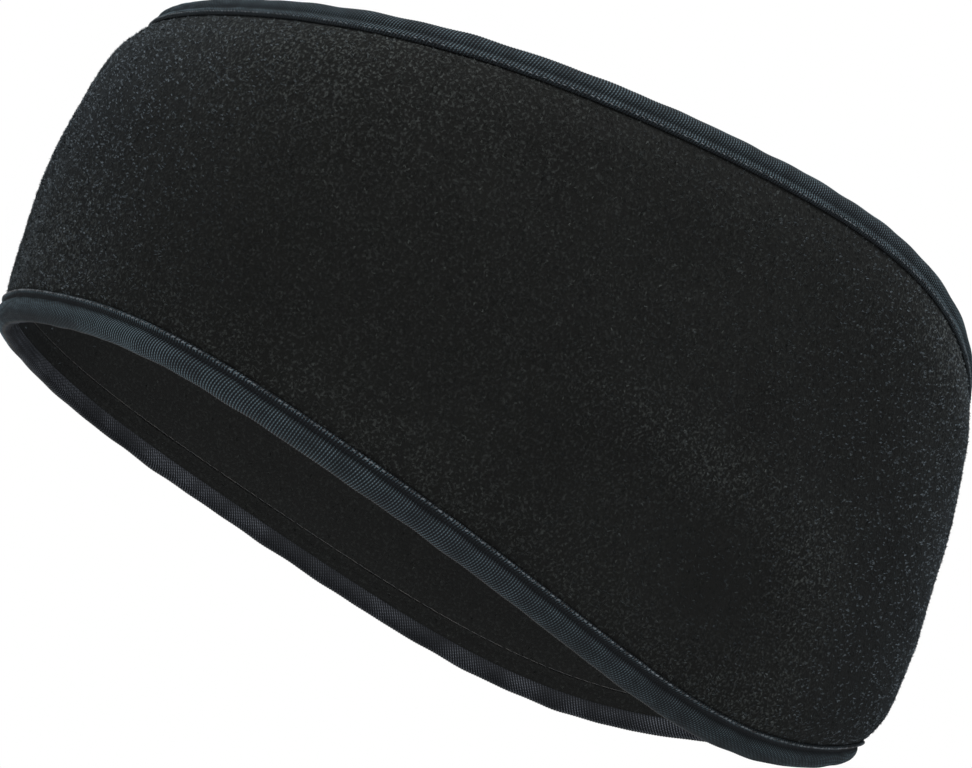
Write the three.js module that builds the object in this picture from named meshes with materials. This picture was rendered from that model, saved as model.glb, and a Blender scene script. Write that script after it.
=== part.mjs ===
import * as THREE from "three";

// A microfleece headband in the form that it has when it is worn, in millimetres.
// The loop runs round +Z, the crown side. -Y is the forehead, +Y the back of the head and +X the left ear.
// The origin is the middle of the loop, where the head sits. Both halves are mirror images over X.

// Driving sizes of the loop, over the outer face of the fleece at its two edges
const earHeight = 101;
const lowerLength = 195;
const lowerWidth = 132.5;
const upperLength = 179;
const upperWidth = 150;
const upperSetForward = 5;

// How far the wall swells between its edges, and how far the tape draws an edge in
const wallSwell = 3.5;
const edgeTuck = 5.1;
const tuckReach = 8.4;

// The fleece, and how thin the tape's stitches pinch it at its edges
const fleeceThickness = 2;
const pinchedThickness = 1.2;

// The folded tape: its cloth, its outer leaf at each edge, its inner leaf, and the crown and groove
// of its face
const tapeThickness = 0.8;
const tapeClearance = 0.3;
const lowerLeaf = 5.8;
const upperLeaf = 5;
const innerLeaf = 4;
const rollCrown = 0.3;
const stitchGroove = 0.35;

// The outline from above: the brow is wider than the nape, and the temples are a little full
const browWidening = 0.178;
const templeFullness = 0.023;

// The two edges, at even steps from the forehead to the back of the head.
// Heights are shares of earHeight, from the middle of the loop.
const edgeRows = [
  { place: "forehead", lower: -0.368, upper: 0.334 },
  { place: "brow", lower: -0.373, upper: 0.357 },
  { place: "temple", lower: -0.416, upper: 0.415 },
  { place: "ear", lower: -0.47, upper: 0.481 },
  { place: "behind the ear", lower: -0.494, upper: 0.508 },
  { place: "nape side", lower: -0.403, upper: 0.426 },
  { place: "back", lower: -0.349, upper: 0.36 },
];

// The fullness of the wall, at even steps from the forehead to the back of the head.
// Tucks are shares of edgeTuck, and a negative one flares out. The swell is a share of wallSwell.
const fullnessRows = [
  { place: "forehead", lowerTuck: -0.17, upperTuck: 0.73, swell: 1.54 },
  { place: "ear", lowerTuck: 0.34, upperTuck: 0.69, swell: 1 },
  { place: "back", lowerTuck: 1, upperTuck: 0.57, swell: 0.91 },
];

// Soft ridges and dents of the wall. Angles are degrees from the forehead, rise and high are shares
// of the wall's height there, and depth is a share of wallSwell, outward when it is positive.
const softRows = [
  { place: "ridge over the ear", angle: 91, rise: 0.43, wide: 10, high: 0.1, depth: 0.22 },
  { place: "ridge behind the ear", angle: 109, rise: 0.43, wide: 9, high: 0.11, depth: 0.3 },
  { place: "ridge below the ear", angle: 126, rise: 0.28, wide: 7, high: 0.15, depth: 0.3 },
  { place: "hollow inside the ridge", angle: 107, rise: 0.24, wide: 10, high: 0.1, depth: -0.22 },
  { place: "dent at the brow", angle: 11, rise: 0.24, wide: 6, high: 0.18, depth: -0.22 },
];

// Steps of the faceted bodies: round the loop, round the fold of the tape, along its leaf and up the wall
const stepsRound = 72;
const foldSteps = 5;
const leafSteps = 3;
const shoulderShares = [0.4, 1];
const middleRises = [0.3, 0.4, 0.5, 0.6, 0.7];

// What follows from the sizes: places outward from the fleece's outer face, and climbs from the fold
const clothMiddle = -fleeceThickness / 2;
const pinchedHalf = pinchedThickness / 2;
const foldDepth = pinchedHalf + tapeClearance + tapeThickness;
const fleeceInset = tapeThickness + tapeClearance;

// A smooth curve of the angle through one column of a table, as a sum of cosines. Its rows stand at even
// steps from the forehead to the back, and both sides of the head are alike.
function throughRows(rows, column, unit) {
  const last = rows.length - 1;
  const isEnd = (row) => row === 0 || row === last;
  const waves = rows.map((_, wave) => {
    const sum = rows.reduce((total, row, index) => {
      const weight = isEnd(index) ? 0.5 : 1;
      return total + weight * row[column] * Math.cos((wave * index * Math.PI) / last);
    }, 0);
    return (unit * (isEnd(wave) ? 1 : 2) * sum) / last;
  });
  return (angle) => waves.reduce((total, size, wave) => total + size * Math.cos(wave * angle), 0);
}

const lowerEdge = throughRows(edgeRows, "lower", earHeight);
const upperEdge = throughRows(edgeRows, "upper", earHeight);
const lowerTuck = throughRows(fullnessRows, "lowerTuck", edgeTuck);
const upperTuck = throughRows(fullnessRows, "upperTuck", edgeTuck);
const swellBetween = throughRows(fullnessRows, "swell", wallSwell);

// How far the edge has come out of its tuck at a distance from the fold of the tape.
function outOfTuck(distance) {
  return 1 - Math.exp(-((distance / tuckReach) ** 2));
}

// The soft swells and dents at a place on the wall. Each stands on both sides of the head.
function softForm(angle, rise) {
  const fromForehead = Math.abs(Math.atan2(Math.sin(angle), Math.cos(angle)));
  return softRows.reduce((total, row) => {
    const round = (fromForehead - THREE.MathUtils.degToRad(row.angle)) / THREE.MathUtils.degToRad(row.wide);
    const up = (rise - row.rise) / row.high;
    return total + wallSwell * row.depth * Math.exp(-(round ** 2) - up ** 2);
  }, 0);
}

// A point of the band. The angle runs from the forehead towards the left ear, climb is the height above
// the lower edge, and out is the distance outward from the outer face of the fleece.
function wallPoint(angle, climb, out) {
  const height = upperEdge(angle) - lowerEdge(angle);
  const rise = climb / height;
  const swell =
    swellBetween(angle) * 4 * rise * (1 - rise) +
    lowerTuck(angle) * outOfTuck(climb) * (1 - rise) +
    upperTuck(angle) * outOfTuck(height - climb) * rise +
    softForm(angle, rise);
  const halfLength = THREE.MathUtils.lerp(lowerLength, upperLength, rise) / 2 + swell;
  const halfWidth = THREE.MathUtils.lerp(lowerWidth, upperWidth, rise) / 2 + swell;
  const twice = 2 * angle;
  const thrice = 3 * angle;
  const across = Math.sin(angle) + browWidening * Math.sin(twice) + templeFullness * Math.sin(thrice);
  const along = -Math.cos(angle) + templeFullness * Math.cos(thrice);
  const acrossTurn =
    Math.cos(angle) + 2 * browWidening * Math.cos(twice) + 3 * templeFullness * Math.cos(thrice);
  const alongTurn = Math.sin(angle) - 3 * templeFullness * Math.sin(thrice);
  const outward = new THREE.Vector3(halfLength * alongTurn, -halfWidth * acrossTurn, 0).normalize();
  const onFleece = new THREE.Vector3(
    halfWidth * across,
    halfLength * along - upperSetForward * rise,
    lowerEdge(angle) + climb,
  );
  return onFleece.addScaledVector(outward, out);
}

// A closed ring whose section is the same list of places at every angle.
// The section runs up the outer face and down the inner face.
function ringBody(sectionAt) {
  const positions = [];
  const indices = [];
  let around = 0;
  for (let step = 0; step < stepsRound; step += 1) {
    const angle = (2 * Math.PI * step) / stepsRound;
    const section = sectionAt(angle);
    around = section.length;
    for (const place of section) {
      const point = wallPoint(angle, place.climb, place.out);
      positions.push(point.x, point.y, point.z);
    }
  }
  for (let step = 0; step < stepsRound; step += 1) {
    const here = step * around;
    const next = ((step + 1) % stepsRound) * around;
    for (let place = 0; place < around; place += 1) {
      const after = (place + 1) % around;
      indices.push(here + place, next + place, next + after);
      indices.push(here + place, next + after, here + after);
    }
  }
  const geometry = new THREE.BufferGeometry();
  geometry.setAttribute("position", new THREE.Float32BufferAttribute(positions, 3));
  geometry.setIndex(indices);
  geometry.computeVertexNormals();
  return geometry;
}

// Climbs from the fold of a tape where the fleece and the tape over it both have a row of points.
function leafClimbs(leaf) {
  return Array.from({ length: leafSteps + 1 }, (_, step) =>
    THREE.MathUtils.lerp(fleeceInset, leaf, step / leafSteps),
  );
}

// One end of the fleece in climbs from the fold: pinched thin under its tape, then full at the shoulder,
// where it swells out past the tape.
function fleeceEnd(leaf) {
  const pinched = leafClimbs(leaf).map((climb) => ({ climb, half: pinchedHalf }));
  const shoulder = shoulderShares.map((share) => ({
    climb: leaf + share * tuckReach,
    half: fleeceThickness / 2,
  }));
  return [...pinched, ...shoulder];
}

// The fleece, one wall from inside the lower fold to inside the upper fold.
function fleeceSection(angle) {
  const height = upperEdge(angle) - lowerEdge(angle);
  const middle = middleRises.map((rise) => ({ climb: rise * height, half: fleeceThickness / 2 }));
  const upperEnd = fleeceEnd(upperLeaf).map(({ climb, half }) => ({ climb: height - climb, half }));
  const wall = [...fleeceEnd(lowerLeaf), ...middle, ...upperEnd.reverse()];
  const outerFace = wall.map(({ climb, half }) => ({ climb, out: clothMiddle + half }));
  const innerFace = wall.map(({ climb, half }) => ({ climb, out: clothMiddle - half }));
  return [...outerFace, ...innerFace.reverse()];
}

// The tape in places counted from its fold: down the inner leaf, round the fold and up the outer leaf to
// its stitched lip, then back through the channel that holds the fleece.
function tapeSection(leaf) {
  const outside = clothMiddle + foldDepth;
  const inside = clothMiddle - foldDepth;
  const channelOut = outside - tapeThickness;
  const channelIn = inside + tapeThickness;
  const [channelEnd, lowChannel, highChannel] = leafClimbs(leaf);
  const fold = Array.from({ length: foldSteps + 1 }, (_, step) => {
    const turn = (Math.PI * step) / foldSteps;
    return {
      climb: foldDepth * (1 - Math.sin(turn)),
      out: clothMiddle - (foldDepth + rollCrown) * Math.cos(turn),
    };
  });
  return [
    { climb: innerLeaf, out: inside },
    ...fold,
    { climb: highChannel - tapeThickness / 2, out: outside },
    { climb: highChannel + tapeThickness / 2, out: outside - stitchGroove },
    { climb: leaf - tapeThickness / 2, out: outside },
    { climb: leaf, out: outside - stitchGroove },
    { climb: leaf, out: channelOut },
    { climb: highChannel, out: channelOut },
    { climb: lowChannel, out: channelOut },
    { climb: channelEnd, out: channelOut },
    { climb: tapeThickness, out: clothMiddle },
    { climb: channelEnd, out: channelIn },
    { climb: lowChannel, out: channelIn },
    { climb: innerLeaf, out: channelIn },
  ];
}

function lowerTapeSection() {
  return tapeSection(lowerLeaf);
}

// The same tape turned over, counted down from the upper edge.
function upperTapeSection(angle) {
  const height = upperEdge(angle) - lowerEdge(angle);
  return tapeSection(upperLeaf)
    .map((place) => ({ climb: height - place.climb, out: place.out }))
    .reverse();
}

const fleece = new THREE.MeshStandardMaterial({ color: 0x1f2122, roughness: 0.96, metalness: 0 });
const ribbedTape = new THREE.MeshStandardMaterial({ color: 0x1b242b, roughness: 0.8, metalness: 0 });

function named(name, sectionAt, material) {
  const mesh = new THREE.Mesh(ringBody(sectionAt), material);
  mesh.name = name;
  return mesh;
}

const headband = new THREE.Group();
headband.add(named("fleece_band", fleeceSection, fleece));
headband.add(named("upper_binding", upperTapeSection, ribbedTape.clone()));
headband.add(named("lower_binding", lowerTapeSection, ribbedTape));

export default headband;
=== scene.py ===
import math

import bpy
import numpy as np
from mathutils import Matrix, Vector, noise


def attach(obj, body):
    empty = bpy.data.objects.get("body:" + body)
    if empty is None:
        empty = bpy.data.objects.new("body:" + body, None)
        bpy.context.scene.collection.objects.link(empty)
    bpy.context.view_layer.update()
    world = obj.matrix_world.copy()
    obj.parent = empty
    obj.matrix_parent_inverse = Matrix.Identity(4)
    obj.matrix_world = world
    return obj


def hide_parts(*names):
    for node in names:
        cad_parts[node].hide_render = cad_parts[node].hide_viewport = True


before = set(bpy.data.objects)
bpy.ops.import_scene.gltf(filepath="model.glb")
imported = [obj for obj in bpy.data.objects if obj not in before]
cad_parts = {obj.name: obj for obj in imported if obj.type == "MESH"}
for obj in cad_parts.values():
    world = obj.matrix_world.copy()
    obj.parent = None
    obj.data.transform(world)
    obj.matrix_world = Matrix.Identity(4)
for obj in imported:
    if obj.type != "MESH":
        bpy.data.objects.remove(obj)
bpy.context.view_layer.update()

# A black microfleece headband with ribbed tape folded over both edges, in its worn form.
# Lengths are in millimetres until a mesh is made. Angles run from the forehead towards the left ear.
METRES = 0.001
TINY = 1e-9

# Sizes of the loop, the same as in the solids
EAR_HEIGHT = 101
LOWER_LENGTH = 195
LOWER_WIDTH = 132.5
UPPER_LENGTH = 179
UPPER_WIDTH = 150
UPPER_SET_FORWARD = 5
WALL_SWELL = 3.5
EDGE_TUCK = 5.1
TUCK_REACH = 8.4
BROW_WIDENING = 0.178
TEMPLE_FULLNESS = 0.023

# The two edges at even steps from the forehead to the back, as shares of the height over the ear
EDGE_ROWS = [
    {"place": "forehead", "lower": -0.368, "upper": 0.334},
    {"place": "brow", "lower": -0.373, "upper": 0.357},
    {"place": "temple", "lower": -0.416, "upper": 0.415},
    {"place": "ear", "lower": -0.47, "upper": 0.481},
    {"place": "behind the ear", "lower": -0.494, "upper": 0.508},
    {"place": "nape side", "lower": -0.403, "upper": 0.426},
    {"place": "back", "lower": -0.349, "upper": 0.36},
]

# The fullness of the wall at even steps, as shares of the tuck and of the swell
FULLNESS_ROWS = [
    {"place": "forehead", "lower_tuck": -0.17, "upper_tuck": 0.73, "swell": 1.54},
    {"place": "ear", "lower_tuck": 0.34, "upper_tuck": 0.69, "swell": 1},
    {"place": "back", "lower_tuck": 1, "upper_tuck": 0.57, "swell": 0.91},
]

# Soft ridges and dents: degrees, shares of the wall's height there, and depth as a share of the swell
SOFT_ROWS = [
    {"place": "ridge over the ear", "angle": 91, "rise": 0.43, "wide": 10, "high": 0.1, "depth": 0.22},
    {"place": "ridge behind the ear", "angle": 109, "rise": 0.43, "wide": 9, "high": 0.11, "depth": 0.3},
    {"place": "ridge below the ear", "angle": 126, "rise": 0.28, "wide": 7, "high": 0.15, "depth": 0.3},
    {"place": "hollow in the ridge", "angle": 107, "rise": 0.24, "wide": 10, "high": 0.1, "depth": -0.22},
    {"place": "dent at the brow", "angle": 11, "rise": 0.24, "wide": 6, "high": 0.18, "depth": -0.22},
]

# Painted light and shade on the fleece's outer face, lighter where light falls fuller and darker where shade
# falls: degrees, shares of the wall's height, and how much lighter it is painted
PAINTED_LIGHT_ROWS = [
    {"place": "under the upper tape", "angle": 30, "rise": 0.9, "wide": 27, "high": 0.22, "lighter": 0.6},
    {"place": "crown of the ridge", "angle": 99, "rise": 0.43, "wide": 12, "high": 0.06, "lighter": 0.38},
    {"place": "bend of the ridge", "angle": 119, "rise": 0.38, "wide": 6, "high": 0.08, "lighter": 0.5},
    {"place": "foot of the ridge", "angle": 123, "rise": 0.2, "wide": 5, "high": 0.13, "lighter": 0.35},
    {"place": "over the lower tape", "angle": 55, "rise": 0.1, "wide": 45, "high": 0.08, "lighter": 0.24},
    {"place": "low behind the ear", "angle": 120, "rise": 0.07, "wide": 16, "high": 0.06, "lighter": 0.3},
    {"place": "behind the ear, high", "angle": 136, "rise": 0.96, "wide": 13, "high": 0.12, "lighter": 1.2},
    {"place": "behind the ear, mid", "angle": 118, "rise": 0.66, "wide": 18, "high": 0.14, "lighter": -0.1},
    {"place": "behind the ear, low", "angle": 140, "rise": 0.36, "wide": 12, "high": 0.2, "lighter": -0.42},
    {"place": "hollow in the ridge", "angle": 106, "rise": 0.25, "wide": 8, "high": 0.1, "lighter": -0.22},
    {"place": "low on the brow", "angle": 3, "rise": 0.22, "wide": 14, "high": 0.2, "lighter": 0.65},
    {"place": "forehead", "angle": 4, "rise": 0.6, "wide": 12, "high": 0.25, "lighter": -0.12},
]

# Painted light and shade on the tape's outer leaf: degrees, shares of the wall's height, and how much
# lighter it is painted
OUTER_LEAF_PAINTED_LIGHT = [
    {"place": "under the brow", "angle": 0, "rise": 0, "wide": 20, "high": 0.02, "lighter": -0.85},
    {"place": "roll at the brow", "angle": 6, "rise": 0.036, "wide": 14, "high": 0.015, "lighter": 0.6},
    {"place": "temple, lower", "angle": 28, "rise": 0, "wide": 10, "high": 0.3, "lighter": 1.0},
    {"place": "behind the ear, lower", "angle": 112, "rise": 0, "wide": 32, "high": 0.3, "lighter": -0.4},
    {"place": "forehead, upper", "angle": 0, "rise": 1, "wide": 20, "high": 0.3, "lighter": -0.2},
    {"place": "behind the ear, upper", "angle": 135, "rise": 1, "wide": 16, "high": 0.3, "lighter": 0.45},
]

# The same for its inner leaf, painted darker inside the brow as painted shade
INNER_LEAF_PAINTED_SHADE = [
    {"place": "inside the brow", "angle": 0, "rise": 0, "wide": 40, "high": 0.3, "lighter": -0.45},
]

# The two cloths: their thicknesses, the fleece pinched under the tape, the play between them, and how far
# the tape's leaves reach from its fold
FLEECE_THICKNESS = 2
PINCHED_THICKNESS = 1.2
TAPE_THICKNESS = 0.8
TAPE_CLEARANCE = 0.3
LOWER_LEAF = 5.8
UPPER_LEAF = 5
INNER_LEAF = 4
CLOTH_MIDDLE = -FLEECE_THICKNESS / 2

# Where the fleece swells to its full thickness: how far under the lip it starts, and how soon it is full
SHOULDER_START = 0.4
SHOULDER_REACH = 1.8

# Soft unevenness of the fleece: how wide its lumps are and how far they stand out, and how far past the
# tape they are at their full depth
LUMP_ROWS = [
    {"wide": 14, "depth": 0.35},
    {"wide": 4, "depth": 0.12},
]
LUMPS_REACH = 6

# The tape's seen face in rows. The climb is the height above the fold, out is the distance from the fleece's
# outer face, shade is how light the tape is painted there, with painted shade in the groove and at the ends
# of the leaves and a painted highlight on the lip, and steps is how many faces lead to the next row.
INNER_FACE = [
    {"place": "end of the inner leaf", "climb": 4.0, "out": -2.4, "shade": 0.4, "steps": 1},
    {"place": "inner leaf", "climb": 3.5, "out": -2.78, "shade": 0.8, "steps": 1},
    {"place": "inner roll, top", "climb": 2.6, "out": -2.98, "shade": 0.9, "steps": 1},
    {"place": "inner roll, low", "climb": 1.3, "out": -2.92, "shade": 0.9, "steps": 1},
    {"place": "turning under", "climb": 0.4, "out": -2.3, "shade": 0.9, "steps": 1},
    {"place": "fold", "climb": 0.0, "out": -1.1, "shade": 0.9, "steps": 2},
    {"place": "turning up", "climb": 0.4, "out": 0.25, "shade": 0.9, "steps": 2},
]
LOWER_FACE = INNER_FACE + [
    {"place": "outer roll, low", "climb": 1.1, "out": 0.92, "shade": 1.0, "steps": 2},
    {"place": "outer roll, crown", "climb": 2.0, "out": 1.18, "shade": 1.0, "steps": 2},
    {"place": "outer roll, top", "climb": 3.0, "out": 1.02, "shade": 1.2, "steps": 2},
    # The dark groove is painted shade, and the light lip a painted highlight
    {"place": "into the groove", "climb": 3.85, "out": 0.5, "shade": 0.6, "steps": 2},
    {"place": "groove", "climb": 4.3, "out": 0.1, "shade": 0.1, "steps": 1},
    {"place": "out of the groove", "climb": 4.85, "out": 0.12, "shade": 0.15, "steps": 2},
    {"place": "lip", "climb": 5.25, "out": 0.44, "shade": 2.0, "steps": 2},
    {"place": "edge of the lip", "climb": 5.6, "out": 0.3, "shade": 0.9, "steps": 2},
    {"place": "end of the outer leaf", "climb": 5.85, "out": -0.1, "shade": 0.2, "steps": 1},
]
UPPER_FACE = INNER_FACE + [
    {"place": "outer roll, low", "climb": 1.0, "out": 0.86, "shade": 1.0, "steps": 2},
    {"place": "outer roll, crown", "climb": 1.7, "out": 1.03, "shade": 1.0, "steps": 2},
    {"place": "outer roll, top", "climb": 2.4, "out": 0.9, "shade": 0.95, "steps": 2},
    # The shallow groove is painted darker as painted shade, and the lip lighter as a painted highlight
    {"place": "shallow groove", "climb": 3.05, "out": 0.55, "shade": 0.6, "steps": 2},
    {"place": "lip", "climb": 3.6, "out": 0.72, "shade": 1.5, "steps": 2},
    {"place": "lower half of the lip", "climb": 4.15, "out": 0.6, "shade": 1.0, "steps": 2},
    {"place": "edge of the lip", "climb": 4.6, "out": 0.3, "shade": 0.35, "steps": 2},
    {"place": "end of the outer leaf", "climb": 4.95, "out": -0.02, "shade": 0.1, "steps": 1},
]

# The tape's hidden side, back through the channel that holds the fleece, from under the lip
TAPE_CHANNEL = [
    {"place": "outer wall", "climb": 3.0, "out": -0.1},
    {"place": "inside the fold, outer side", "climb": 1.2, "out": -0.15},
    {"place": "inside the fold", "climb": 0.8, "out": -1.0},
    {"place": "inside the fold, inner side", "climb": 1.2, "out": -1.85},
    {"place": "inner wall", "climb": 3.6, "out": -1.9},
]

# Fineness of the fleece. Its rows are crowded towards the tapes by a share of its height.
FLEECE_STEPS_ROUND = 480
FLEECE_STEPS_UP = 84
ROW_CROWDING = 0.1

# Ribs of the tape: their pitch and depth, how far they lean and stray along it for each millimetre across,
# and how long a stray is
RIB_PITCH = 0.6
STEPS_PER_RIB = 3
RIB_DEPTH = 0.12
LOWER_RIB_LEAN = 0.45
LOWER_RIB_LEAN_CHANGE = 0.28
UPPER_RIB_LEAN = 0.12
RIB_WANDER = 0.3
WANDER_LENGTH = 15

# Puckers of the tape, how soon chance changes fade out where its ring closes, and how far apart in the noise
# the two tapes lie
PUCKER_DEPTH = 0.22
PUCKER_LENGTH = 7
CLOSING_LENGTH = 8
TAPES_APART = 7.0

# Pitch of the knit courses, and the place across the tape where a painted highlight runs along its fold
COURSE_PITCH = 0.55
FOLD_PLACE = 5.2

# How closely curves are measured: samples round an edge and round the wall, and small steps round and up
EDGE_SAMPLES = 7201
RING_SAMPLES = 2001
SMALL_TURN = 0.001
SMALL_CLIMB = 0.05

# Threads that show of each kind of stitch: length, pitch, thickness, rise of the middle and tilt
LOWER_LIP_THREAD = {"long": 0.95, "pitch": 1.3, "thick": 0.34, "lift": 0.12, "tilt": 0.2}
UPPER_LIP_THREAD = {"long": 0.9, "pitch": 1.3, "thick": 0.24, "lift": 0.08, "tilt": 0.2}
INNER_FACE_THREAD = {"long": 2.3, "pitch": 1.9, "thick": 0.22, "lift": -0.04, "tilt": 0.05}

# Stitches: the edge that each row follows, its look, and how high above the fold and how far out it lies
STITCH_ROWS = [
    {"side": "lower", "look": "lip", "climb": 5.38, "out": 0.37, "thread": LOWER_LIP_THREAD},
    {"side": "upper", "look": "lip", "climb": 4.2, "out": 0.5, "thread": UPPER_LIP_THREAD},
    {"side": "lower", "look": "inner", "climb": 8.0, "out": -2.06, "thread": INNER_FACE_THREAD},
    {"side": "upper", "look": "inner", "climb": 6.4, "out": -2.06, "thread": INNER_FACE_THREAD},
]

# Sides and rings of one thread, how thin its ends are, and how unlike the threads are: shares of length,
# tilt and pitch
THREAD_SIDES = 6
THREAD_RINGS = 6
THREAD_TAPER = 1.9
THREAD_LENGTHS = (0.8, 1.15)
THREAD_TILTS = (0.2, 1.8)
THREAD_PLACES = (0.4, 0.6)

# Pile: tufts of short fibres that lean together. Sparse is how few of them are light, even is how light they
# are anywhere, and the last column is how much lighter the painted light of the outer face makes them.
COARSE_FIBRE = {"long": 0.42, "wide": 0.12, "sparse": 4}
FINE_FIBRE = {"long": 0.34, "wide": 0.11, "sparse": 2}
PILE_ROWS = [
    {"name": "pile_outer", "side": 1, "tufts": 32000, "fibre": COARSE_FIBRE, "even": 0.9, "painted_light_gain": 1.4},
    {"name": "pile_inner", "side": -1, "tufts": 6000, "fibre": COARSE_FIBRE, "even": 0.45, "painted_light_gain": 0},
    {"name": "pile_fine", "side": 1, "tufts": 31000, "fibre": FINE_FIBRE, "even": 0.25, "painted_light_gain": 1.7},
]
FIRST_PILE_SEED = 11

# One tuft: its fibres, how wide it stands, how open its middle is and how deep its roots sit
TUFT_FIBRES = 6
TUFT_RADIUS = 0.32
TUFT_MIDDLE = 0.05
ROOT_DEPTH = 0.03

# How far tufts lean, in radians, and how unlike the tufts and their fibres are
TUFT_LEANS = (1.0, 1.4)
TUFT_SIZES = (0.6, 1.35)
FIBRE_WIDTHS = (0.7, 1.3)
FIBRE_STRAY = 0.1

# How light the dimmest tuft is, how light the root of a fibre is painted as painted shade among the pile,
# and how much a fibre's shading leans with it
DIMMEST_TUFT = 0.1
ROOT_PAINTED_SHADE = 0.4
SHADING_LEAN = 0.5

# How far past the tape's lip the pile starts
PILE_START = 0.35


def through_rows(rows, column, unit):
    """A smooth curve of the angle through one column of a table, as a sum of cosines."""
    last = len(rows) - 1
    sizes = []
    for wave in range(last + 1):
        total = 0
        for index, row in enumerate(rows):
            weight = 0.5 if index in (0, last) else 1
            total += weight * row[column] * math.cos(wave * index * math.pi / last)
        sizes.append(unit * (1 if wave in (0, last) else 2) * total / last)

    def curve(angle):
        return sum(size * np.cos(wave * angle) for wave, size in enumerate(sizes))

    return curve


lower_edge = through_rows(EDGE_ROWS, "lower", EAR_HEIGHT)
upper_edge = through_rows(EDGE_ROWS, "upper", EAR_HEIGHT)
lower_tuck = through_rows(FULLNESS_ROWS, "lower_tuck", EDGE_TUCK)
upper_tuck = through_rows(FULLNESS_ROWS, "upper_tuck", EDGE_TUCK)
swell_between = through_rows(FULLNESS_ROWS, "swell", WALL_SWELL)


def wall_height(angle):
    return upper_edge(angle) - lower_edge(angle)


def out_of_tuck(distance):
    """How far the edge has come out of its tuck at a distance from the fold of the tape."""
    return 1 - np.exp(-((distance / TUCK_REACH) ** 2))


def soft_spots(rows, column, angle, rise):
    """The sum of a table's soft spots at a place on the wall, the same on both sides of the head."""
    from_forehead = np.abs(np.arctan2(np.sin(angle), np.cos(angle)))
    total = 0
    for row in rows:
        round_it = (from_forehead - math.radians(row["angle"])) / math.radians(row["wide"])
        up = (rise - row["rise"]) / row["high"]
        total = total + row[column] * np.exp(-(round_it**2) - up**2)
    return total


def soft_form(angle, rise):
    """How far the soft ridges and dents stand out."""
    return WALL_SWELL * soft_spots(SOFT_ROWS, "depth", angle, rise)


def nap(angle, rise):
    """How much lighter or darker the fleece's outer face is painted at a place, as painted light and shade.
    """
    return soft_spots(PAINTED_LIGHT_ROWS, "lighter", angle, rise)


def wall_points(angle, climb, out):
    """Points of the band, in millimetres: the angle round it, the height above the lower edge, and the
    distance outward from the outer face of the fleece."""
    angle, climb, out = np.broadcast_arrays(angle, climb, out)
    height = wall_height(angle)
    rise = climb / height
    swell = (
        swell_between(angle) * 4 * rise * (1 - rise)
        + lower_tuck(angle) * out_of_tuck(climb) * (1 - rise)
        + upper_tuck(angle) * out_of_tuck(height - climb) * rise
        + soft_form(angle, rise)
    )
    half_length = (LOWER_LENGTH + (UPPER_LENGTH - LOWER_LENGTH) * rise) / 2 + swell
    half_width = (LOWER_WIDTH + (UPPER_WIDTH - LOWER_WIDTH) * rise) / 2 + swell
    across = np.sin(angle) + BROW_WIDENING * np.sin(2 * angle) + TEMPLE_FULLNESS * np.sin(3 * angle)
    along = -np.cos(angle) + TEMPLE_FULLNESS * np.cos(3 * angle)
    across_turn = (
        np.cos(angle) + 2 * BROW_WIDENING * np.cos(2 * angle) + 3 * TEMPLE_FULLNESS * np.cos(3 * angle)
    )
    along_turn = np.sin(angle) - 3 * TEMPLE_FULLNESS * np.sin(3 * angle)
    outward_x = half_length * along_turn
    outward_y = -half_width * across_turn
    size = np.hypot(outward_x, outward_y)
    x = half_width * across + out * outward_x / size
    y = half_length * along - UPPER_SET_FORWARD * rise + out * outward_y / size
    z = lower_edge(angle) + climb
    return np.stack([x, y, z], -1)


def wall_directions(angle, climb, out):
    """Unit directions on the band: round it, up it and straight out of it."""
    here = wall_points(angle, climb, out)
    round_it = wall_points(angle + SMALL_TURN, climb, out) - here
    up = wall_points(angle, climb + SMALL_CLIMB, out) - here
    straight_out = np.cross(round_it, up)
    return [v / np.linalg.norm(v, axis=-1, keepdims=True) for v in (round_it, up, straight_out)]


class Edge:
    """One edge of the band. Its climbs count from the fold of its tape, into the band."""

    def __init__(self, is_upper):
        self.is_upper = is_upper
        self.face = UPPER_FACE if is_upper else LOWER_FACE
        angles = np.linspace(0, 2 * math.pi, EDGE_SAMPLES)
        points = self.points(angles, 0, CLOTH_MIDDLE)
        steps = np.linalg.norm(np.diff(points, axis=0), axis=1)
        self.angles = angles
        self.lengths = np.concatenate([[0], np.cumsum(steps)])
        self.length = self.lengths[-1]

    def points(self, angle, climb, out):
        height = wall_height(angle)
        return wall_points(angle, height - climb if self.is_upper else climb, out)

    def directions(self, angle, climb, out):
        height = wall_height(angle)
        return wall_directions(angle, height - climb if self.is_upper else climb, out)

    def angle_at(self, distance):
        return np.interp(np.mod(distance, self.length), self.lengths, self.angles)

    def rib_distance(self, angle, climb):
        """Distance along the edge of the foot of the rib that passes a place."""
        lean = UPPER_RIB_LEAN if self.is_upper else LOWER_RIB_LEAN_CHANGE * np.cos(angle) - LOWER_RIB_LEAN
        return np.interp(angle, self.angles, self.lengths) + climb * lean


def smooth_face(rows):
    """Climb, out and shade on a smooth curve through the rows of a tape's face."""
    known = np.array([(row["climb"], row["out"], row["shade"]) for row in rows])
    ends = np.vstack([2 * known[0] - known[1], known, 2 * known[-1] - known[-2]])
    places = []
    for index, row in enumerate(rows[:-1]):
        a, b, c, d = ends[index : index + 4]
        for step in range(row["steps"]):
            t = step / row["steps"]
            bend = (2 * a - 5 * b + 4 * c - d) * t**2 + (3 * b - a - 3 * c + d) * t**3
            places.append(0.5 * (2 * b + (c - a) * t + bend))
    places.append(known[-1])
    return np.maximum(places, [-np.inf, -np.inf, 0])


def grid_mesh(name, points):
    """A closed ring from points[round, section], in millimetres."""
    around, across = points.shape[:2]
    here = np.arange(around * across).reshape(around, across)
    faces = np.stack(faces_of_grid(here), -1).reshape(-1, 4)
    mesh = bpy.data.meshes.new(name)
    mesh.from_pydata((points.reshape(-1, 3) * METRES).tolist(), [], faces.tolist())
    mesh.shade_smooth()
    return mesh


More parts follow.
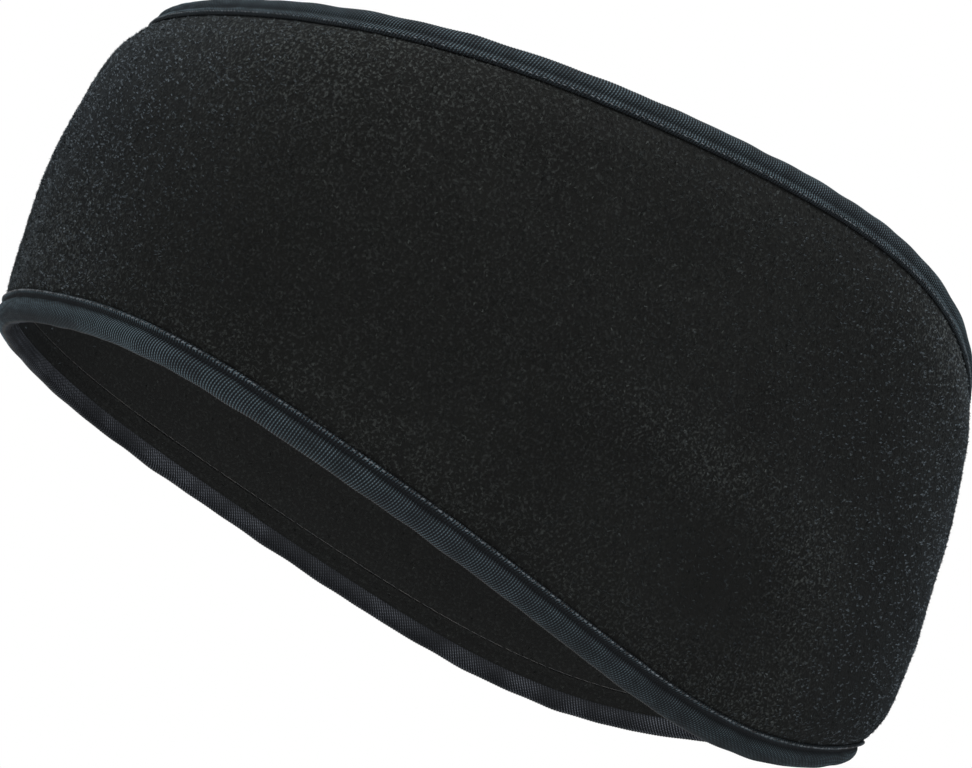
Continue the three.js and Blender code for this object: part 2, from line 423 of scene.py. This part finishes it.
def faces_of_grid(values):
    """The four corner values of each face of a ring's grid."""
    next_round = np.roll(values, -1, axis=0)
    return [values, next_round, np.roll(next_round, -1, axis=1), np.roll(values, -1, axis=1)]


def add_values(mesh, name, values):
    """One number at each point of a mesh, for its material."""
    mesh.attributes.new(name, "FLOAT", "POINT").data.foreach_set("value", values.ravel().astype(np.float32))


def add_rib_map(mesh, phase, places, ribs):
    """Counts of ribs along the tape and millimetres across it, as a map for the tape's material."""
    along = faces_of_grid(phase)
    # The last faces run on past the first, so that the ribs meet where the tape's ring closes
    along[1][-1] += ribs
    along[2][-1] += ribs
    across = faces_of_grid(np.broadcast_to(places, phase.shape))
    uv = np.stack([np.stack(along, -1), np.stack(across, -1)], -1)
    mesh.uv_layers.new(name="ribs").data.foreach_set("uv", uv.ravel().astype(np.float32))


def add_piece(name, mesh, material, node=None):
    """One piece of the object, which rides on its body and may stand for a solid."""
    piece = bpy.data.objects.new(name, mesh)
    bpy.context.scene.collection.objects.link(piece)
    mesh.materials.append(material)
    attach(piece, "root")
    if node:
        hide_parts(node)
    return piece


def uneven(points, size, depth):
    """Soft random relief, in millimetres, of a given size of lump."""
    flat = points.reshape(-1, 3) / size
    values = [noise.noise(Vector(p)) for p in flat.tolist()]
    return depth * np.array(values).reshape(points.shape[:-1])


def past_tape(climb, height):
    """How far a place on the fleece lies past the nearest tape's lip."""
    return np.minimum(climb - LOWER_LEAF, height - climb - UPPER_LEAF)


def fleece_half(climb, height):
    """Half the fleece's thickness: pinched under the tapes, then full."""
    share = np.clip((past_tape(climb, height) + SHOULDER_START) / SHOULDER_REACH, 0, 1)
    full = share * share * (3 - 2 * share)
    return (PINCHED_THICKNESS + (FLEECE_THICKNESS - PINCHED_THICKNESS) * full) / 2


def fleece_face(angle, climb, side):
    """Points on one face of the fleece, with its soft unevenness. Side is 1 outside and -1 inside."""
    height = wall_height(angle)
    out = CLOTH_MIDDLE + side * fleece_half(climb, height)
    points = wall_points(angle, climb, out)
    straight_out = wall_directions(angle, climb, out)[2]
    free = np.clip(past_tape(climb, height) / LUMPS_REACH, 0, 1)
    relief = free * sum(uneven(points, row["wide"], row["depth"]) for row in LUMP_ROWS)
    return points + straight_out * relief[..., None]


def fleece_mesh(name):
    """The fleece's wall, up its outer face and down its inner face, with marks for its material."""
    angle = (2 * math.pi * np.arange(FLEECE_STEPS_ROUND) / FLEECE_STEPS_ROUND)[:, None]
    height = wall_height(angle)
    inset = TAPE_THICKNESS + TAPE_CLEARANCE
    share = np.linspace(0, 1, FLEECE_STEPS_UP + 1)[None, :]
    # Closer rows near the tapes, where the fleece swells out
    eased = share - ROW_CROWDING * np.sin(2 * math.pi * share)
    climb = inset + (height - 2 * inset) * eased
    outer = fleece_face(angle, climb, 1)
    inner = fleece_face(angle, climb, -1)
    mesh = grid_mesh(name, np.concatenate([outer, inner[:, ::-1]], axis=1))
    # The outer face holds its painted light and shade for the looks; the inner face has none
    light = nap(angle, climb / height)
    dark = np.zeros_like(light)
    add_values(mesh, "nap", np.concatenate([light, dark], axis=1))
    add_values(mesh, "inside", np.concatenate([dark, dark + 1], axis=1))
    return mesh


def chance_along(edge, distance, length):
    """A soft chance change along a tape, which fades out where its ring closes."""
    closing = np.minimum(1, np.minimum(distance, edge.length - distance) / CLOSING_LENGTH)
    apart = TAPES_APART * edge.is_upper
    return closing * np.array([noise.noise(Vector((d / length, apart, length))) for d in distance])


def tape_lightness(edge, angle, climb, out):
    """How light the tape is painted, as painted light and shade, as a share of its usual shade."""
    rise = climb / wall_height(angle)
    rise = 1 - rise if edge.is_upper else rise
    outer = soft_spots(OUTER_LEAF_PAINTED_LIGHT, "lighter", angle, rise)
    inner = soft_spots(INNER_LEAF_PAINTED_SHADE, "lighter", angle, rise)
    return np.maximum(0, 1 + np.where(out > CLOTH_MIDDLE, outer, inner))


def tape_mesh(name, edge):
    """The folded tape of one edge, with its ribs and puckers."""
    ribs = 2 * round(edge.length / RIB_PITCH / 2)
    columns = ribs * STEPS_PER_RIB
    distance = edge.length * np.arange(columns) / columns
    angle = edge.angle_at(distance)[:, None]
    face = smooth_face(edge.face)
    channel = np.array([(row["climb"], row["out"], 0) for row in TAPE_CHANNEL])
    climb, out, shade = np.vstack([face, channel]).T
    turn = np.stack([np.roll(v, -1) - np.roll(v, 1) for v in (climb, out)])
    turn = turn / np.linalg.norm(turn, axis=0)
    seen = np.where(np.arange(len(climb)) < len(face), 1.0, 0.0)
    seen[[0, len(face) - 1]] = 0
    places = np.concatenate([[0], np.cumsum(np.hypot(np.diff(climb), np.diff(out)))])
    climb, out, shade = climb[None, :], out[None, :], shade[None, :]
    puckers = chance_along(edge, distance, PUCKER_LENGTH)[:, None]
    wander = chance_along(edge, distance, WANDER_LENGTH)[:, None]
    phase = edge.rib_distance(angle, climb) * ribs / edge.length + RIB_WANDER * wander * climb
    relief = RIB_DEPTH * (np.cos(2 * math.pi * phase) - 1) / 2 + PUCKER_DEPTH * puckers
    shift = relief * seen
    points = edge.points(angle, climb - shift * turn[1], out + shift * turn[0])
    # The tape is painted lighter or darker by its place, as painted light and shade
    shades = shade * tape_lightness(edge, angle, climb, out)
    if edge.is_upper:
        points, phase, shades, places = points[:, ::-1], phase[:, ::-1], shades[:, ::-1], places[::-1]
    mesh = grid_mesh(name, points)
    add_rib_map(mesh, phase, places, ribs)
    add_values(mesh, "shade", shades)
    return mesh


def stitch_mesh(name, edge, row):
    """A row of short raised threads along one edge."""
    thread = row["thread"]
    count = round(edge.length / thread["pitch"])
    sides, rings = THREAD_SIDES, THREAD_RINGS
    vertices, faces = [], []
    chance = np.random.default_rng(len(name) + edge.is_upper)
    # Each thread is thin at its ends and full in the middle, where it arches up from the cloth
    along = np.linspace(-0.5, 0.5, rings)
    radius = thread["thick"] / 2 * np.sqrt(1 - (THREAD_TAPER * along) ** 2)
    arch = thread["lift"] * (1.5 * np.cos(math.pi * along) - 0.5)
    for index in range(count):
        length = thread["long"] * chance.uniform(*THREAD_LENGTHS)
        tilt = thread["tilt"] * chance.uniform(*THREAD_TILTS)
        middle = edge.length * (index + chance.uniform(*THREAD_PLACES)) / count
        angle = edge.angle_at(middle + length * along)
        climb = row["climb"] + tilt * length * along
        centres = edge.points(angle, climb, row["out"] + arch)
        up, straight_out = edge.directions(angle, climb, row["out"] + arch)[1:]
        first = len(vertices)
        for ring in range(rings):
            for side in range(sides):
                turn = 2 * math.pi * side / sides
                spoke = math.cos(turn) * up[ring] + math.sin(turn) * straight_out[ring]
                vertices.append(((centres[ring] + radius[ring] * spoke) * METRES).tolist())
        for ring in range(rings - 1):
            for side in range(sides):
                after = (side + 1) % sides
                a = first + ring * sides
                b = a + sides
                faces.append((a + side, b + side, b + after, a + after))
        faces.append(tuple(first + side for side in range(sides)))
        faces.append(tuple(first + (rings - 1) * sides + side for side in reversed(range(sides))))
    mesh = bpy.data.meshes.new(name)
    mesh.from_pydata(vertices, [], faces)
    mesh.shade_smooth()
    return mesh


def tuft_places(side, tufts, chance):
    """Angles and climbs of tufts strewn evenly over one face of the fleece, clear of the tapes."""
    grid = np.linspace(0, 2 * math.pi, RING_SAMPLES)
    ring = wall_points(grid, 0.5 * wall_height(grid), 0)
    lengths = np.concatenate([[0], np.cumsum(np.linalg.norm(np.diff(ring, axis=0), axis=1))])
    weight = lengths[-1] * wall_height(grid) / wall_height(grid).max()
    density = np.gradient(lengths, grid) * weight
    chances = np.concatenate([[0], np.cumsum((density[1:] + density[:-1]) / 2)])
    angle = np.interp(chance.uniform(0, chances[-1], tufts), chances, grid)
    leaves = (LOWER_LEAF, UPPER_LEAF) if side > 0 else (INNER_LEAF, INNER_LEAF)
    low_bare, high_bare = [leaf + PILE_START for leaf in leaves]
    climb = low_bare + (wall_height(angle) - low_bare - high_bare) * chance.uniform(0, 1, tufts)
    return angle, climb


def pile_mesh(row, seed):
    """Tufts of short fibres on one face of the fleece. Side is 1 outside and -1 inside."""
    side, tufts, kind = row["side"], row["tufts"], row["fibre"]
    chance = np.random.default_rng(seed)
    angle, climb = tuft_places(side, tufts, chance)
    roots = fleece_face(angle, climb, side)
    round_it, up, straight_out = wall_directions(angle, climb, CLOTH_MIDDLE)
    straight_out = straight_out * side
    lean = chance.uniform(0, 2 * math.pi, tufts)[:, None]
    tilt = chance.uniform(*TUFT_LEANS, tufts)[:, None]
    flat = np.cos(lean) * round_it + np.sin(lean) * up
    size = kind["long"] * chance.uniform(*TUFT_SIZES, tufts)[:, None]
    tips = roots + size * (flat * np.sin(tilt) + straight_out * np.cos(tilt))
    # Tufts are painted lighter or darker with the outer face's painted light and shade
    painted_lighting = row["even"] + row["painted_light_gain"] * nap(angle, climb / wall_height(angle))
    bright = chance.uniform(0, 1, tufts) ** kind["sparse"]
    shade = np.maximum(0, painted_lighting) * (DIMMEST_TUFT + (1 - DIMMEST_TUFT) * bright)
    corners = np.zeros((tufts, TUFT_FIBRES, 3, 3))
    normals = np.zeros((tufts, TUFT_FIBRES, 3, 3))
    for fibre in range(TUFT_FIBRES):
        turn = chance.uniform(0, 2 * math.pi, tufts)[:, None]
        reach = TUFT_RADIUS * np.sqrt(chance.uniform(TUFT_MIDDLE, 1, tufts))[:, None]
        spread = np.cos(turn) * round_it + np.sin(turn) * up
        spot = roots + reach * spread - ROOT_DEPTH * straight_out
        tip = tips + FIBRE_STRAY * chance.normal(0, 1, (tufts, 3))
        blade = np.cross(tip - spot, straight_out)
        blade = blade / (np.linalg.norm(blade, axis=1, keepdims=True) + TINY)
        wide = kind["wide"] / 2 * chance.uniform(*FIBRE_WIDTHS, tufts)[:, None]
        # Every blade turns its front outward, and is lit as the cloth under it is
        faces_in = np.sum(np.cross(2 * wide * blade, tip - spot) * straight_out, axis=1, keepdims=True) < 0
        wide = np.where(faces_in, -wide, wide)
        corners[:, fibre, 0] = spot - wide * blade
        corners[:, fibre, 1] = spot + wide * blade
        corners[:, fibre, 2] = tip
        normals[:, fibre] = (straight_out + SHADING_LEAN * (tip - spot) / size)[:, None, :]
    vertices = corners.reshape(-1, 3) * METRES
    faces = np.arange(len(vertices)).reshape(-1, 3)
    mesh = bpy.data.meshes.new(row["name"])
    mesh.from_pydata(vertices.tolist(), [], faces.tolist())
    mesh.shade_smooth()
    normals = normals.reshape(-1, 3)
    mesh.normals_split_custom_set_from_vertices(
        (normals / np.linalg.norm(normals, axis=1, keepdims=True)).tolist()
    )
    # Each fibre is painted darker at its root, as painted shade among the pile
    root_to_tip = np.tile([ROOT_PAINTED_SHADE, ROOT_PAINTED_SHADE, 1.0], tufts * TUFT_FIBRES)
    add_values(mesh, "shade", np.repeat(shade, TUFT_FIBRES * 3) * root_to_tip)
    return mesh


class Nodes:
    """A material's node tree, with short calls that add and join its nodes."""

    def __init__(self, name):
        self.material = bpy.data.materials.new(name)
        self.material.use_nodes = True
        self.tree = self.material.node_tree
        self.tree.nodes.clear()
        self.shader = self.tree.nodes.new("ShaderNodeBsdfPrincipled")
        output = self.tree.nodes.new("ShaderNodeOutputMaterial")
        self.tree.links.new(self.shader.outputs[0], output.inputs[0])

    def add(self, kind, settings=None):
        node = self.tree.nodes.new(kind)
        for key, value in (settings or {}).items():
            setattr(node, key, value)
        return node

    def feed(self, node, key, value):
        socket = node.inputs[int(key) if key.isdigit() else key]
        if isinstance(value, bpy.types.NodeSocket):
            self.tree.links.new(value, socket)
        else:
            socket.default_value = value

    def math(self, operation, a, b=0.0, c=0.0):
        node = self.add("ShaderNodeMath", {"operation": operation})
        for index, value in enumerate((a, b, c)):
            self.feed(node, str(index), value)
        return node.outputs[0]

    def stretch(self, value, low, high, to_low=0.0, to_high=1.0):
        """A number moved from one range to another, gently at both ends."""
        node = self.add("ShaderNodeMapRange", {"interpolation_type": "SMOOTHSTEP"})
        for index, item in enumerate((value, low, high, to_low, to_high)):
            self.feed(node, str(index), item)
        return node.outputs[0]

    def blend(self, share, a, b):
        """Colour a, which turns into b as the share grows to 1."""
        node = self.add("ShaderNodeMix", {"data_type": "RGBA"})
        self.feed(node, "0", share)
        self.feed(node, "6", a)
        self.feed(node, "7", b)
        return node.outputs[2]

    def value(self, name):
        """A number that the mesh holds at each of its points."""
        return self.add("ShaderNodeAttribute", {"attribute_name": name}).outputs["Fac"]

    def place(self):
        return self.add("ShaderNodeTexCoord").outputs["Object"]

    def noise(self, scale, detail=2.0, distortion=0.0):
        node = self.add("ShaderNodeTexNoise")
        self.feed(node, "Vector", self.place())
        self.feed(node, "Scale", scale)
        self.feed(node, "Detail", detail)
        self.feed(node, "Distortion", distortion)
        return node.outputs[0]

    def bump(self, height, strength, distance):
        node = self.add("ShaderNodeBump")
        self.feed(node, "Strength", strength)
        self.feed(node, "Distance", distance)
        self.feed(node, "Height", height)
        return node.outputs[0]

    def finish(self, **inputs):
        for key, value in inputs.items():
            self.feed(self.shader, key.replace("_", " "), value)
        return self.material


# Colours, in linear light
FLEECE_DARK = (0.0069, 0.0071, 0.0069, 1)
FLEECE_MID = (0.0078, 0.0081, 0.0078, 1)
FLEECE_SPECK = (0.03, 0.033, 0.032, 1)
FLEECE_INSIDE = (0.0066, 0.0068, 0.0067, 1)
FIBRE_DARK = (0.0055, 0.006, 0.0057, 1)
FIBRE_LIGHT = (0.048, 0.053, 0.05, 1)
# The tape's dark gaps are partly painted shade, and its light ribs partly painted highlight
TAPE_GAP_AND_SHADE = (0.007, 0.0078, 0.0087, 1)
TAPE_RIB = (0.056, 0.08, 0.094, 1)
# The same for the inner leaf's gaps and ribs
TAPE_INNER_GAP_AND_SHADE = (0.006, 0.0065, 0.0075, 1)
TAPE_INNER = (0.062, 0.068, 0.08, 1)
# A painted highlight along the tape's fold
TAPE_FOLD_HIGHLIGHT = (0.042, 0.04, 0.038, 1)
THREAD_DARK = (0.01, 0.011, 0.012, 1)
LIP_THREAD = (0.075, 0.085, 0.095, 1)
INNER_THREAD = (0.02, 0.019, 0.018, 1)
SHEEN_TINT = (0.55, 0.68, 0.8, 1)

# Fineness of the soft patterns in the looks, in patches a metre
CLOTH_PATCHES = 28
CLOTH_GRAINS = 1700
PILE_PATCHES = 40
TAPE_CLOUDS = 220
# Patches of painted light and shade for the inner leaf's puckers
PUCKER_LIGHT_PATCHES = 90
THREAD_MOTTLE = 900
THREAD_FIBRES = 4000
FLOOR_MOTTLE = 3


def fleece_material():
    """Cloth ground under the pile: near-black grains, some of them lighter, and broad soft changes. Its
    lighter grains show more where painted light falls and fewer under painted shade.
    """
    nodes = Nodes("fleece_ground")
    broad = nodes.stretch(nodes.noise(CLOTH_PATCHES, 3), 0.35, 0.65)
    grains = nodes.noise(CLOTH_GRAINS, 2, 0.4)
    ground = nodes.blend(broad, FLEECE_DARK, FLEECE_MID)
    # Specks are strengthened where the fleece is painted lighter, as painted light, and weakened under
    # painted shade
    painted_lighting = nodes.math("MULTIPLY_ADD", nodes.value("nap"), 1.7, 0.38)
    specks = nodes.math("MULTIPLY", nodes.stretch(grains, 0.48, 0.76), painted_lighting)
    speckled = nodes.blend(specks, ground, FLEECE_SPECK)
    # The inner face is plainer, with fainter specks
    inner = nodes.blend(nodes.math("MULTIPLY", specks, 0.5), FLEECE_INSIDE, FLEECE_SPECK)
    return nodes.finish(
        Base_Color=nodes.blend(nodes.value("inside"), speckled, inner),
        Roughness=1.0,
        Normal=nodes.bump(grains, 0.7, 0.00025),
        Specular_IOR_Level=0.0,
        Sheen_Weight=0.025,
        Sheen_Roughness=0.4,
        Sheen_Tint=SHEEN_TINT,
    )


def pile_material():
    """Fibres of the pile, painted darker at their roots as painted shade, some tufts lighter than others at
    random and as painted light and shade.
    """
    nodes = Nodes("fleece_pile")
    shade = nodes.value("shade")
    broad = nodes.stretch(nodes.noise(PILE_PATCHES, 2), 0.3, 0.7, 0.7, 1.2)
    colour = nodes.blend(nodes.math("MULTIPLY", shade, broad), FIBRE_DARK, FIBRE_LIGHT)
    return nodes.finish(
        Base_Color=colour,
        Roughness=0.9,
        Specular_IOR_Level=0.05,
        Sheen_Weight=0.12,
        Sheen_Roughness=0.4,
        Sheen_Tint=SHEEN_TINT,
    )


def tape_material():
    """Ribbed knit tape: light ribs with dark gaps, partly its own knit and partly painted highlight on the
    ribs and painted shade in the gaps, and fine courses along each rib.
    """
    nodes = Nodes("ribbed_tape")
    place = nodes.add("ShaderNodeSeparateXYZ")
    nodes.feed(place, "0", nodes.add("ShaderNodeUVMap", {"uv_map": "ribs"}).outputs[0])
    wave = nodes.math("COSINE", nodes.math("MULTIPLY", place.outputs[0], 2 * math.pi))
    rib = nodes.stretch(wave, 0.0, 1.0)
    # Each rib's courses stand half a course off its neighbours'
    course = nodes.math("MULTIPLY_ADD", place.outputs[1], 2 / COURSE_PITCH, place.outputs[0])
    courses = nodes.math("SINE", nodes.math("MULTIPLY", course, math.pi))
    knit = nodes.stretch(courses, -1.0, 1.0, 0.3, 1.1)
    cloudy = nodes.stretch(nodes.noise(TAPE_CLOUDS, 2), 0.3, 0.7, 0.55, 1.1)
    shade = nodes.value("shade")
    raised = nodes.math("MULTIPLY", rib, knit)
    share = nodes.math("MULTIPLY", nodes.math("MULTIPLY", raised, cloudy), shade)
    outer = nodes.blend(share, TAPE_GAP_AND_SHADE, TAPE_RIB)
    # The inner leaf is duller, with soft patches of painted light and shade for its puckers
    puckers = nodes.stretch(nodes.noise(PUCKER_LIGHT_PATCHES, 2), 0.35, 0.65, 0.35, 1.3)
    inner = nodes.blend(nodes.math("MULTIPLY", share, puckers), TAPE_INNER_GAP_AND_SHADE, TAPE_INNER)
    ribbed = nodes.blend(nodes.stretch(place.outputs[1], 4.0, 6.0), inner, outer)
    # A thin painted highlight runs along the fold, dimmed where the tape is painted darker
    from_fold = nodes.math("ABSOLUTE", nodes.math("SUBTRACT", place.outputs[1], FOLD_PLACE))
    fold_highlight = nodes.math("MULTIPLY", nodes.stretch(from_fold, 0.5, 0.15), shade)
    fold = nodes.math("MULTIPLY", fold_highlight, nodes.stretch(raised, 0.0, 0.5, 0.4, 1.0))
    return nodes.finish(
        Base_Color=nodes.blend(fold, ribbed, TAPE_FOLD_HIGHLIGHT),
        Roughness=0.7,
        Normal=nodes.bump(raised, 0.6, 0.0001),
        Specular_IOR_Level=0.02,
        Sheen_Weight=0.02,
        Sheen_Roughness=0.3,
        Sheen_Tint=SHEEN_TINT,
    )


def thread_material(name, lightest):
    """Sewing thread, a little lighter than the cloth under it."""
    nodes = Nodes(name)
    colour = nodes.blend(nodes.stretch(nodes.noise(THREAD_MOTTLE, 1), 0.35, 0.65), THREAD_DARK, lightest)
    relief = nodes.bump(nodes.noise(THREAD_FIBRES, 1), 0.4, 0.0001)
    return nodes.finish(Base_Color=colour, Roughness=0.6, Normal=relief, Specular_IOR_Level=0.2)


def plain_material(name, colour):
    """One plain colour, very faintly mottled."""
    nodes = Nodes(name)
    mottle = nodes.stretch(nodes.noise(FLOOR_MOTTLE, 2), 0.0, 1.0, 0.97, 1.0)
    shaded = nodes.blend(mottle, tuple(0.9 * c for c in colour[:3]) + (1,), colour)
    return nodes.finish(Base_Color=shaded, Roughness=0.9)


# The camera, at the photograph's viewing angle
CAMERA_AZIMUTH = 70.591
CAMERA_ELEVATION = -8.291
CAMERA_ROLL = 26.748
CAMERA_DISTANCE = 1.060
CAMERA_FOCUS_PIXELS = 5391.35
CAMERA_CENTRE = (520.82, 380.5)
CAMERA_CLIP = (0.05, 50)
FRAME_WIDE = 972
FRAME_HIGH = 768
SENSOR = 36.0

# Soft square lights. Each stands off in a direction made of the picture's right, its up and the way back to
# the camera. Sizes and distances are in metres, and powers in watts.
LIGHT_DISTANCE = 1.2
WHITE = (1, 1, 1)
PALE = (0.88, 0.95, 1.0)
COOL = (0.85, 0.93, 1.0)
LIGHT_ROWS = [
    {"name": "key_above", "right": 0.45, "up": 1, "back": 0.25, "size": 0.7, "power": 26, "colour": WHITE},
    {"name": "fill_left", "right": -1, "up": 0.1, "back": -0.15, "size": 0.6, "power": 3.5, "colour": PALE},
    {"name": "fill_right", "right": 1, "up": 0, "back": 0.05, "size": 0.6, "power": 0.8, "colour": COOL},
    {"name": "fill_front", "right": 0, "up": -0.4, "back": 1, "size": 0.6, "power": 3.5, "colour": WHITE},
]

# The floor, in metres
FLOOR_SIZE = 12
FLOOR_HEIGHT = -0.32
FLOOR_COLOUR = (0.8, 0.8, 0.8, 1)


def make_camera():
    """The camera of the photograph. Returns the picture's right, its up and the way back to the camera."""
    azimuth, elevation, roll = (
        math.radians(value) for value in (CAMERA_AZIMUTH, CAMERA_ELEVATION, CAMERA_ROLL)
    )
    back = Vector(
        (
            math.sin(azimuth) * math.cos(elevation),
            -math.cos(azimuth) * math.cos(elevation),
            math.sin(elevation),
        )
    )
    right = Vector((math.cos(azimuth), math.sin(azimuth), 0))
    up = back.cross(right)
    image_right = right * math.cos(roll) + up * math.sin(roll)
    image_up = up * math.cos(roll) - right * math.sin(roll)
    data = bpy.data.cameras.new("camera")
    data.sensor_width = SENSOR
    data.lens = CAMERA_FOCUS_PIXELS / FRAME_WIDE * SENSOR
    data.shift_x = (FRAME_WIDE / 2 - CAMERA_CENTRE[0]) / FRAME_WIDE
    data.shift_y = (CAMERA_CENTRE[1] - FRAME_HIGH / 2) / FRAME_WIDE
    data.clip_start, data.clip_end = CAMERA_CLIP
    camera = bpy.data.objects.new("camera", data)
    turn = Matrix((image_right, image_up, back)).transposed().to_4x4()
    camera.matrix_world = Matrix.Translation(back * CAMERA_DISTANCE) @ turn
    bpy.context.scene.collection.objects.link(camera)
    bpy.context.scene.camera = camera
    return image_right, image_up, back


def add_light(row, direction):
    """A square soft light that faces the object from a direction."""
    data = bpy.data.lights.new(row["name"], "AREA")
    data.shape = "SQUARE"
    data.size = row["size"]
    data.energy = row["power"]
    data.color = row["colour"]
    light = bpy.data.objects.new(row["name"], data)
    towards = direction.normalized()
    light.location = towards * LIGHT_DISTANCE
    light.rotation_mode = "QUATERNION"
    light.rotation_quaternion = towards.to_track_quat("Z", "Y")
    bpy.context.scene.collection.objects.link(light)


def make_studio(image_right, image_up, back):
    """White surroundings, soft lights set round the camera's view, and a pale floor far below."""
    world = bpy.data.worlds.new("studio")
    world.use_nodes = True
    background = world.node_tree.nodes["Background"]
    background.inputs["Color"].default_value = (1, 1, 1, 1)
    background.inputs["Strength"].default_value = 1.0
    bpy.context.scene.world = world
    bpy.context.scene.view_settings.view_transform = "Standard"
    for row in LIGHT_ROWS:
        add_light(row, image_right * row["right"] + image_up * row["up"] + back * row["back"])
    bpy.ops.mesh.primitive_plane_add(size=FLOOR_SIZE, location=(0, 0, FLOOR_HEIGHT))
    floor = bpy.context.object
    floor.name = "floor"
    floor.data.materials.append(plain_material("floor", FLOOR_COLOUR))


make_studio(*make_camera())

fleece = add_piece(
    "fleece_cloth", fleece_mesh("fleece_cloth"), fleece_material(), "fleece_band"
)
tape_look = tape_material()
thread_looks = {
    "lip": thread_material("lip_thread", LIP_THREAD),
    "inner": thread_material("inner_thread", INNER_THREAD),
}
edges = {"lower": Edge(False), "upper": Edge(True)}
for side, edge in edges.items():
    name = side + "_tape"
    add_piece(name, tape_mesh(name, edge), tape_look, side + "_binding")
for row in STITCH_ROWS:
    name = "_".join([row["side"], row["look"], "stitches"])
    mesh = stitch_mesh(name, edges[row["side"]], row)
    add_piece(name, mesh, thread_looks[row["look"]])

pile_look = pile_material()
piles = [
    add_piece(row["name"], pile_mesh(row, seed), pile_look)
    for seed, row in enumerate(PILE_ROWS, start=FIRST_PILE_SEED)
]
